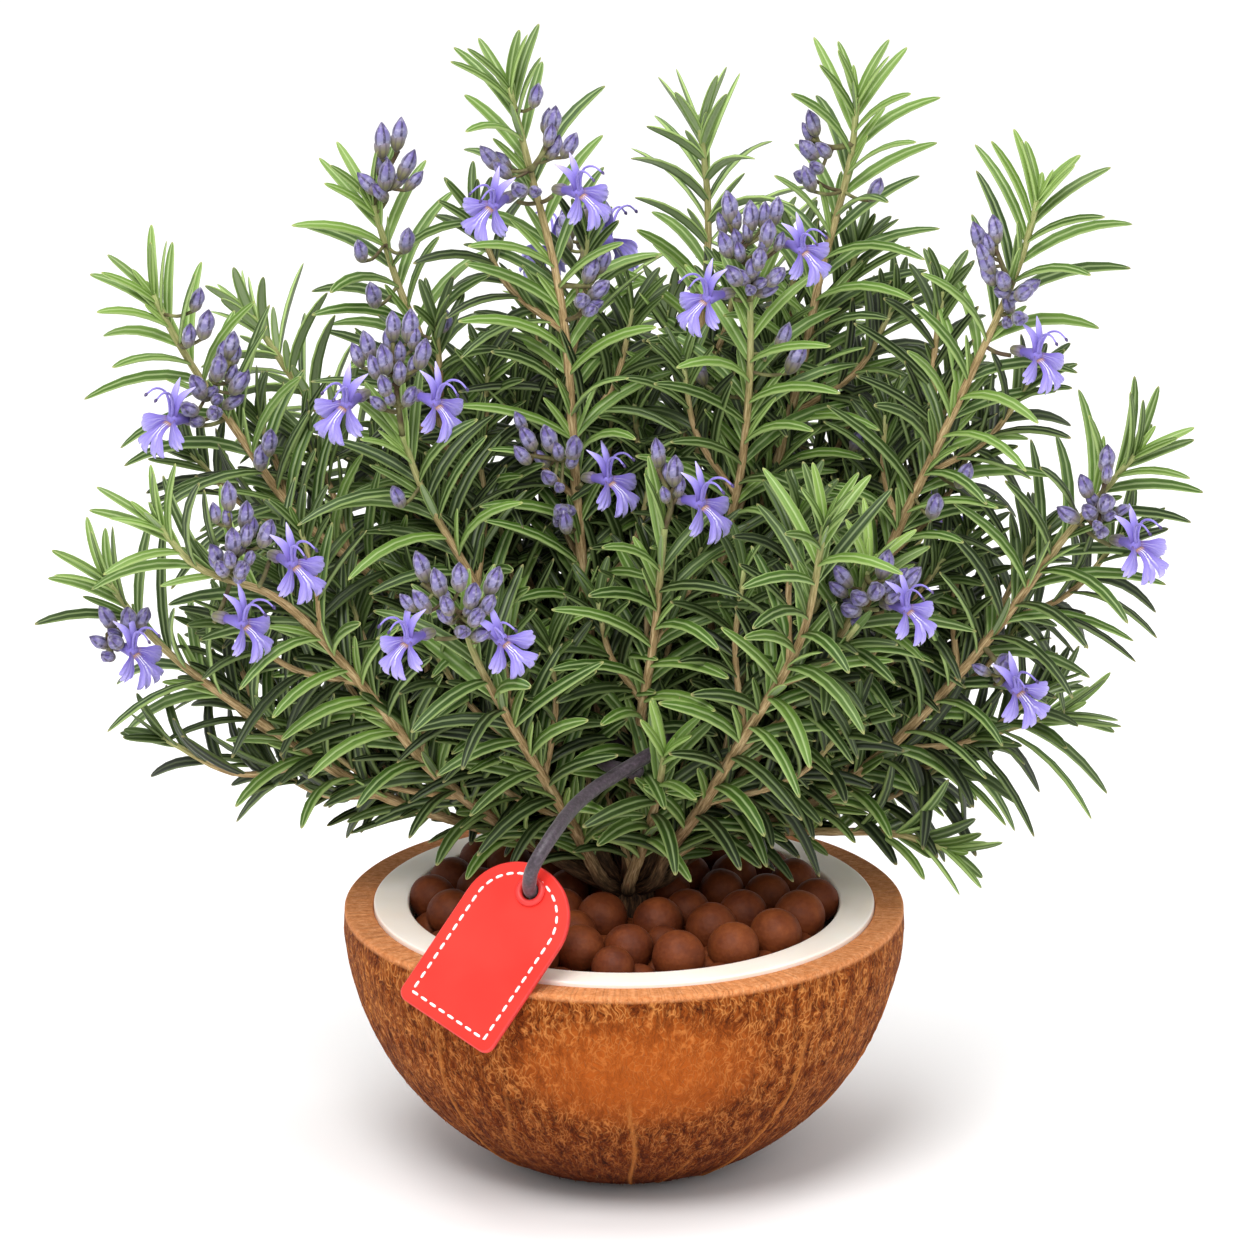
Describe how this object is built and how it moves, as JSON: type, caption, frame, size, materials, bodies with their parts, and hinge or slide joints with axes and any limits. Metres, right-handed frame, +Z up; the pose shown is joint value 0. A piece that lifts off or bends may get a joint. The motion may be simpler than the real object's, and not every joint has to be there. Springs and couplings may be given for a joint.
{
  "type": "potted rosemary plant",
  "caption": "Flowering rosemary plant growing in half a coconut shell, with clay pebbles over the mix and a red tag hung on a cord.",
  "frame": {"origin": "middle of the flat foot of the coconut bowl, on the surface that it stands on", "axes": "+Z up along the bowl's axis, -Y to the front where the tag hangs, +X to the right seen from the front"},
  "size_m": [0.2806, 0.177, 0.2861],
  "materials": {
    "coconut_husk": "fibrous brown husk, sanded to a tan edge",
    "coconut_flesh": "smooth ivory white",
    "potting_mix": "dark loose mix",
    "rosemary_bark": "rough grey-brown bark",
    "rosemary_sprig": "dark green leaves on tan stems",
    "rosemary_flower": "soft violet-blue petals",
    "fired_clay": "matt reddish brown fired clay",
    "red_tag": "smooth bright red with pale stitching",
    "dark_cord": "round dark grey cord"
  },
  "bodies": {
    "root": {"clay_pebble_01": "fired_clay", "clay_pebble_02": "fired_clay", "clay_pebble_03": "fired_clay", "clay_pebble_04": "fired_clay", "clay_pebble_05": "fired_clay", "clay_pebble_06": "fired_clay", "clay_pebble_07": "fired_clay", "clay_pebble_08": "fired_clay", "clay_pebble_09": "fired_clay", "clay_pebble_10": "fired_clay", "clay_pebble_11": "fired_clay", "coconut_flesh": "coconut_flesh", "coconut_shell": "coconut_husk", "cord_knot": "dark_cord", "flowers_back": "rosemary_flower", "flowers_back_right": "rosemary_flower", "flowers_centre": "rosemary_flower", "flowers_centre_spike": "rosemary_flower", "flowers_far_left": "rosemary_flower", "flowers_far_right": "rosemary_flower", "flowers_far_right_low": "rosemary_flower", "flowers_front_left": "rosemary_flower", "flowers_left_high": "rosemary_flower", "flowers_left_low": "rosemary_flower", "flowers_left_mid": "rosemary_flower", "flowers_right_spike": "rosemary_flower", "flowers_tall_left_low": "rosemary_flower", "flowers_tall_left_side": "rosemary_flower", "flowers_tall_left_top": "rosemary_flower", "flowers_tall_right": "rosemary_flower", "flowers_upper_left": "rosemary_flower", "flowers_upper_right": "rosemary_flower", "pebble_bed": "fired_clay", "potting_mix": "potting_mix", "sprig_back_high": "rosemary_sprig", "sprig_back_left_low": "rosemary_sprig", "sprig_back_low": "rosemary_sprig", "sprig_back_right_low": "rosemary_sprig", "sprig_centre": "rosemary_sprig", "sprig_centre_back": "rosemary_sprig", "sprig_centre_spike": "rosemary_sprig", "sprig_far_left": "rosemary_sprig", "sprig_far_right": "rosemary_sprig", "sprig_front_left": "rosemary_sprig", "sprig_front_right": "rosemary_sprig", "sprig_left_high": "rosemary_sprig", "sprig_left_low": "rosemary_sprig", "sprig_left_mid": "rosemary_sprig", "sprig_right_back": "rosemary_sprig", "sprig_right_low": "rosemary_sprig", "sprig_right_spike": "rosemary_sprig", "sprig_tall_left": "rosemary_sprig", "sprig_tall_right": "rosemary_sprig", "sprig_upper_left": "rosemary_sprig", "sprig_upper_right": "rosemary_sprig", "sprig_young_shoot": "rosemary_sprig", "swing_tag": "red_tag", "tag_cord": "dark_cord", "tag_eyelet": "red_tag", "woody_crown": "rosemary_bark"}
  },
  "joints": []
}
